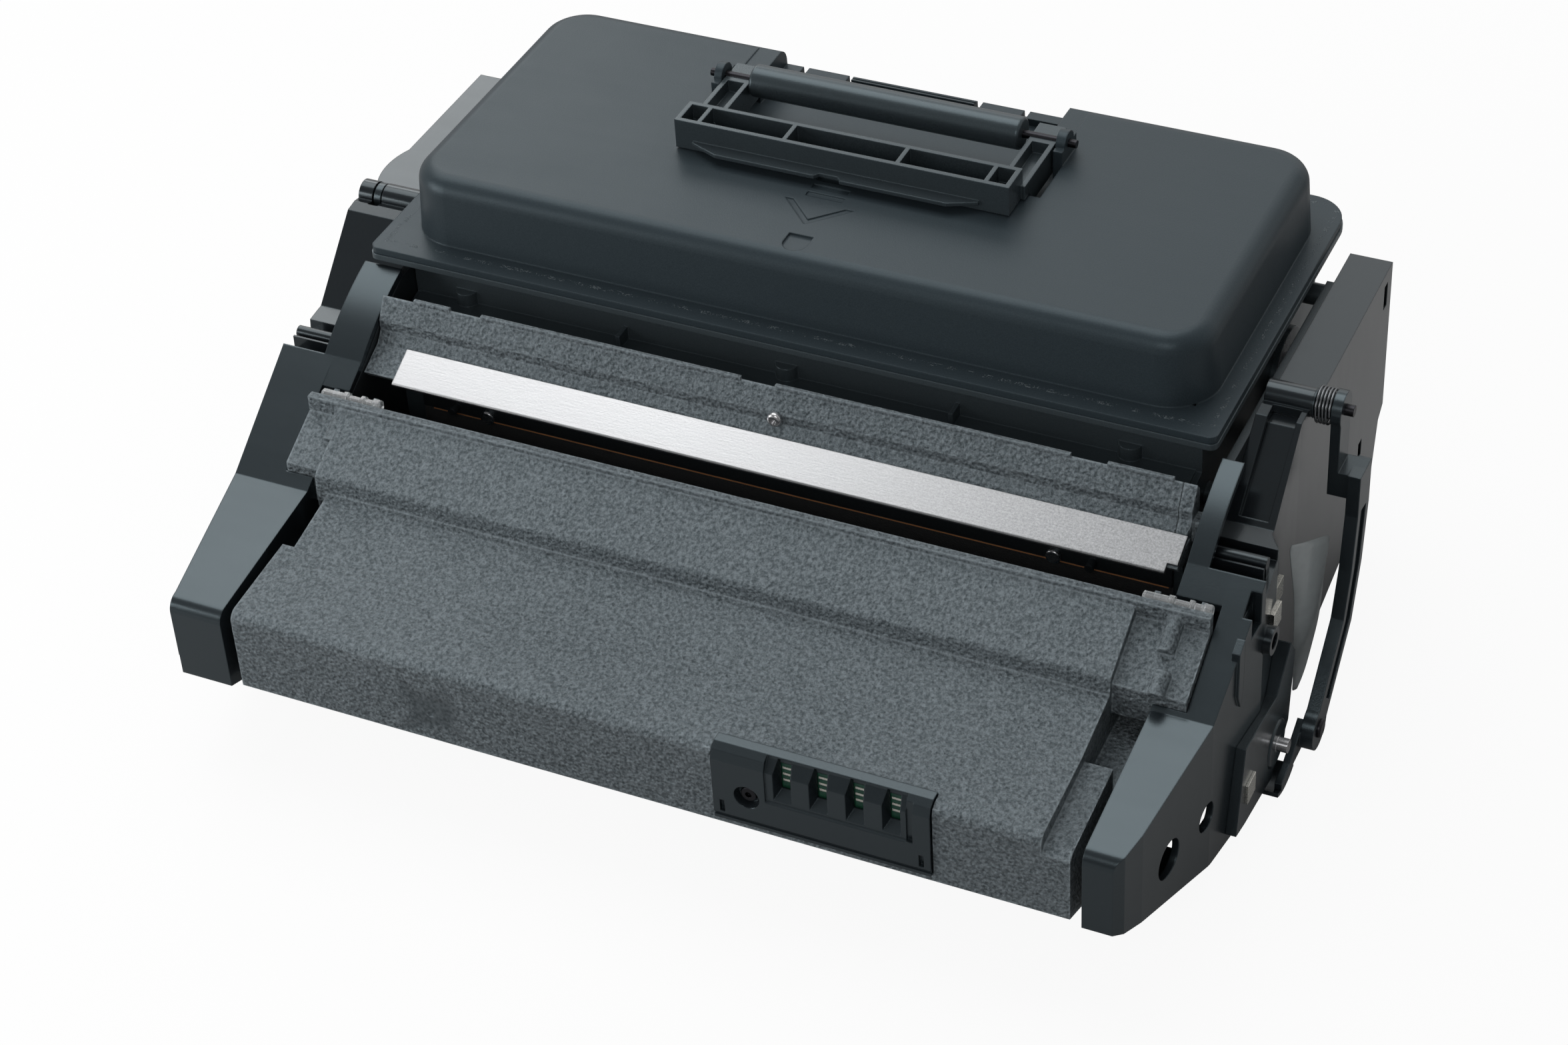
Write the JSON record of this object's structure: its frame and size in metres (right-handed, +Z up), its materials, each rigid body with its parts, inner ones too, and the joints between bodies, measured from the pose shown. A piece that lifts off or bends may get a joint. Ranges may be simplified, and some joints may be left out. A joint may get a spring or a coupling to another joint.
{
  "type": "laser printer toner cartridge",
  "caption": "Wide toner cartridge with a raised hopper lid, folding top handle, chip block in front, drum under a sprung shutter, and end covers over the gear train.",
  "frame": {"origin": "middle of the footprint, on the surface it rests on", "axes": "+X along the cartridge, from the gear end to the lever end; +Y from the chip side to the handle side; +Z up"},
  "size_m": [0.3882, 0.2865, 0.163],
  "materials": {
    "grained_plastic": "spark-eroded grain, dark grey",
    "lid_plastic": "fine matt, slate grey",
    "cap_plastic": "satin black",
    "cover_plastic": "semi-gloss black",
    "frame_plastic": "plain black",
    "handle_plastic": "satin dark grey",
    "bright_steel": "fine matt plating",
    "shaft_steel": "ground",
    "spring_steel": "drawn wire",
    "black_screw": "black oxide",
    "copper_strip": "thin copper-coloured sheet",
    "felt": "black felt",
    "clear_guide": "clear polished",
    "circuit_board": "dark green solder mask",
    "contact_metal": "bright plated contact",
    "drum_coating": "glossy blue-green photoconductor",
    "roller_rubber": "ground elastomer",
    "roller_foam": "open foam",
    "gear_plastic": "natural acetal",
    "paddle_film": "stiff film",
    "wiper_rubber": "amber polyurethane",
    "guard_film": "glossy grey sheet"
  },
  "bodies": {
    "cartridge": {"front_housing": "grained_plastic", "left_bearing_plate": "frame_plastic", "right_bearing_plate": "frame_plastic", "left_end_cap": "cap_plastic", "right_end_cap": "cap_plastic", "left_rear_cover": "cover_plastic", "right_rear_cover": "cover_plastic", "hopper_body": "frame_plastic", "hopper_lid": "lid_plastic", "frame_beam": "grained_plastic", "bright_plate": "bright_steel", "plate_screw": "shaft_steel", "doctor_bracket": "frame_plastic", "doctor_blade": "copper_strip", "blade_seal": "felt", "bracket_screws": "shaft_steel", "light_guide_left": "clear_guide", "light_guide_right": "clear_guide", "chip_holder": "cap_plastic", "chip_board": "circuit_board", "chip_contacts": "contact_metal", "chip_screw": "black_screw", "drum_shaft": "shaft_steel", "drum_bearing": "cap_plastic", "idler_pin": "shaft_steel", "cleaning_bracket": "shaft_steel", "cleaning_blade": "wiper_rubber", "auger_idler_pin": "shaft_steel", "pivot_pins": "shaft_steel", "torsion_spring": "spring_steel", "drum_end_plate": "cap_plastic", "contact_pads": "contact_metal", "guard_sheet": "guard_film", "fill_cap": "handle_plastic"},
    "handle": {"handle_frame": "handle_plastic", "grip_bar": "handle_plastic", "handle_pin": "shaft_steel"},
    "drum_shutter": {"shutter": "cover_plastic", "shutter_lever": "cap_plastic", "shutter_arm": "cap_plastic", "lever_pin": "shaft_steel"},
    "drum": {"drum_tube": "drum_coating", "drum_gear": "gear_plastic", "drum_flange": "gear_plastic"},
    "developer_roller": {"developer_shaft": "shaft_steel", "developer_sleeve": "roller_rubber", "developer_gear": "gear_plastic"},
    "idler": {"idler_gear": "gear_plastic"},
    "supply_roller": {"supply_shaft": "shaft_steel", "supply_sleeve": "roller_foam", "supply_gear": "gear_plastic"},
    "drive": {"drive_gear": "gear_plastic"},
    "agitator": {"agitator_shaft": "shaft_steel", "agitator_paddle": "paddle_film", "agitator_gear": "gear_plastic"},
    "charge_roller": {"charge_shaft": "shaft_steel", "charge_sleeve": "roller_rubber"},
    "auger_idler_wheel": {"auger_idler": "gear_plastic"},
    "auger": {"waste_auger": "gear_plastic"}
  },
  "joints": [
    {"name": "handle_hinge", "type": "hinge", "parent": "cartridge", "child": "handle", "pos_m": [0.0003, 0.0996, 0.1565], "axis": [-1, 0, 0], "range_deg": [0, 95]},
    {"name": "shutter_hinge", "type": "hinge", "parent": "cartridge", "child": "drum_shutter", "pos_m": [0.0003, 0.0343, 0.1188], "axis": [1, 0, 0], "range_deg": [0, 35], "stiffness_Nm_per_rad": 0.15, "springref_deg": -40.11},
    {"name": "drum_spin", "type": "hinge", "parent": "cartridge", "child": "drum", "pos_m": [0.0003, -0.0254, 0.02], "axis": [1, 0, 0], "continuous": true},
    {"name": "developer_roller_spin", "type": "hinge", "parent": "cartridge", "child": "developer_roller", "pos_m": [0.0003, -0.0027, 0.02608], "axis": [1, 0, 0], "continuous": true},
    {"name": "idler_spin", "type": "hinge", "parent": "cartridge", "child": "idler", "pos_m": [0.0003, 0.00165, 0.04096], "axis": [1, 0, 0], "continuous": true},
    {"name": "supply_roller_spin", "type": "hinge", "parent": "cartridge", "child": "supply_roller", "pos_m": [0.0003, 0.01186, 0.03138], "axis": [1, 0, 0], "continuous": true},
    {"name": "drive_spin", "type": "hinge", "parent": "cartridge", "child": "drive", "pos_m": [0.0003, 0.02406, 0.04956], "axis": [1, 0, 0], "continuous": true},
    {"name": "agitator_spin", "type": "hinge", "parent": "cartridge", "child": "agitator", "pos_m": [0.0003, 0.0586, 0.06282], "axis": [1, 0, 0], "continuous": true},
    {"name": "charge_roller_spin", "type": "hinge", "parent": "cartridge", "child": "charge_roller", "pos_m": [0.0003, -0.04172, 0.03369], "axis": [1, 0, 0], "continuous": true},
    {"name": "auger_idler_wheel_spin", "type": "hinge", "parent": "cartridge", "child": "auger_idler_wheel", "pos_m": [0.0003, -0.05214, 0.02376], "axis": [1, 0, 0], "continuous": true},
    {"name": "auger_spin", "type": "hinge", "parent": "cartridge", "child": "auger", "pos_m": [0.0003, -0.07162, 0.02826], "axis": [1, 0, 0], "continuous": true}
  ],
  "couplings": [
    {"joint": "developer_roller_spin", "follows": "drum_spin", "ratio": -1.7647},
    {"joint": "idler_spin", "follows": "drum_spin", "ratio": 2.1429},
    {"joint": "supply_roller_spin", "follows": "drum_spin", "ratio": -2.1429},
    {"joint": "drive_spin", "follows": "drum_spin", "ratio": -0.88235},
    {"joint": "agitator_spin", "follows": "drum_spin", "ratio": 0.75},
    {"joint": "charge_roller_spin", "follows": "drum_spin", "ratio": -2.5},
    {"joint": "auger_idler_wheel_spin", "follows": "drum_spin", "ratio": -1.25},
    {"joint": "auger_spin", "follows": "drum_spin", "ratio": 1.875}
  ]
}
